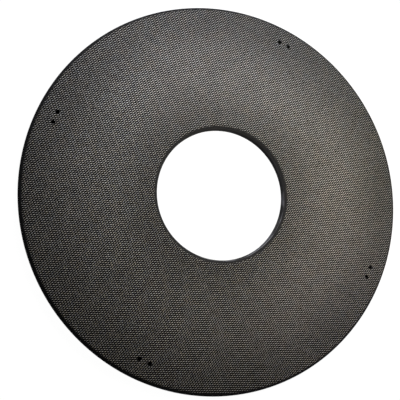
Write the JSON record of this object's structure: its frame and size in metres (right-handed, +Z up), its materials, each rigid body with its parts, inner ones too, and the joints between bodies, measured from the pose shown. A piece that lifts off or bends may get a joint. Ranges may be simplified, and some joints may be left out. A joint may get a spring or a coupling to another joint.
{
  "type": "circle template",
  "caption": "Flat ring template for drawing circles: a stiff board ring covered in black mesh cloth, with rounded rims, a round central opening and small pin holes near the outer rim.",
  "frame": {"origin": "on the ring's axis, on the plane that the template lies on", "axes": "+Z up along the ring's axis, out of the cloth-covered face; +X across the columns of the cloth's weave and +Y along them, with the four pairs of pin holes near the diagonals"},
  "size_m": [0.3, 0.3, 0.008],
  "materials": {
    "cloth": "coarse open-weave mesh cloth, matt with a faint sheen, black turning warm grey on the crowns of the weave",
    "board": "dense pressed fibre board, bare and matt",
    "backing": "matt moulded rubber sheet with a fine non-slip grain",
    "sleeve": "smooth black plastic"
  },
  "bodies": {
    "root": {"cloth_cover": "cloth", "core_board": "board", "rubber_backing": "backing", "pin_sleeve_a1": "sleeve", "pin_sleeve_a2": "sleeve", "pin_sleeve_b1": "sleeve", "pin_sleeve_b2": "sleeve", "pin_sleeve_c1": "sleeve", "pin_sleeve_c2": "sleeve", "pin_sleeve_d1": "sleeve", "pin_sleeve_d2": "sleeve"}
  },
  "joints": []
}
